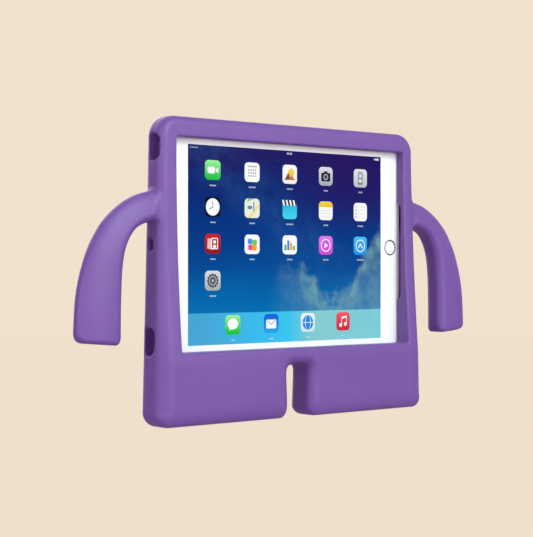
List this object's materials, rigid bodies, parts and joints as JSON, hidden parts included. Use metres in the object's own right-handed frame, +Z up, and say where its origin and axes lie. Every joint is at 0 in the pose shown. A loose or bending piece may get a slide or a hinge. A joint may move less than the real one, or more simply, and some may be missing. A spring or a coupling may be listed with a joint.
{
  "type": "tablet case",
  "caption": "Child's moulded foam tablet case with handle arms and standing legs, holding a tablet with its screen, buttons, ports and inner parts.",
  "frame": {"origin": "middle of the case's footprint, on the surface that its feet stand on", "axes": "+X to the right as the screen is read, +Y from the screen to the back, +Z up"},
  "size_m": [0.3926, 0.028, 0.2245],
  "materials": {
    "foam": "matte moulded EVA foam with a faint sheen",
    "aluminium": "bead-blasted, anodised",
    "white_glass": "polished glass, painted white on its back",
    "screen": "lit screen behind glass",
    "white_plastic": "satin gasket",
    "ring_metal": "polished metal ring",
    "dark_glass": "polished, over a dark lens",
    "cell": "pouch film",
    "board": "solder mask",
    "steel": "stamped sheet",
    "black_plastic": "moulded"
  },
  "bodies": {
    "case": {"foam_case": "foam"},
    "tablet": {"rear_shell": "aluminium", "front_glass": "white_glass", "display_panel": "screen", "glass_trim": "white_plastic", "home_button_ring": "ring_metal", "rear_camera_ring": "ring_metal", "front_camera": "dark_glass", "rear_camera_lens": "dark_glass", "battery_cell_left": "cell", "battery_cell_right": "cell", "logic_board": "board", "volume_switch_board": "board", "home_button_switch": "steel", "home_button_bracket": "steel", "dock_connector": "steel", "microphone": "steel", "board_shield": "steel", "wireless_module": "steel", "board_screw_1": "steel", "board_screw_2": "steel", "board_screw_3": "steel", "board_screw_4": "steel", "sleep_switch": "black_plastic", "headphone_jack": "black_plastic", "speaker_upper": "black_plastic", "speaker_lower": "black_plastic", "rear_camera_module": "black_plastic", "battery_connector": "black_plastic"},
    "home_button": {"home_button_cap": "white_glass"},
    "sleep_key": {"sleep_button": "aluminium"},
    "volume_up_key": {"volume_up_button": "aluminium"},
    "volume_down_key": {"volume_down_button": "aluminium"},
    "mute_slider": {"side_switch_slider": "aluminium"}
  },
  "joints": [
    {"name": "tablet_removal", "type": "slide", "parent": "case", "child": "tablet", "axis": [0, -1, 0], "range_m": [0, 0.045], "deforming": ["foam_case"]},
    {"name": "home_button_press", "type": "slide", "parent": "tablet", "child": "home_button", "axis": [0, 1, 0], "range_m": [0, 0.0004], "stiffness_N_per_m": 2500, "springref_m": -0.0002},
    {"name": "sleep_button_press", "type": "slide", "parent": "tablet", "child": "sleep_key", "axis": [1, 0, 0], "range_m": [0, 0.0004], "stiffness_N_per_m": 3000, "springref_m": -0.0002},
    {"name": "volume_up_press", "type": "slide", "parent": "tablet", "child": "volume_up_key", "axis": [0, 0, -1], "range_m": [0, 0.0004], "stiffness_N_per_m": 3000, "springref_m": -0.0002},
    {"name": "volume_down_press", "type": "slide", "parent": "tablet", "child": "volume_down_key", "axis": [0, 0, -1], "range_m": [0, 0.0004], "stiffness_N_per_m": 3000, "springref_m": -0.0002},
    {"name": "mute_slider_slide", "type": "slide", "parent": "tablet", "child": "mute_slider", "axis": [1, 0, 0], "range_m": [0, 0.0018]}
  ]
}
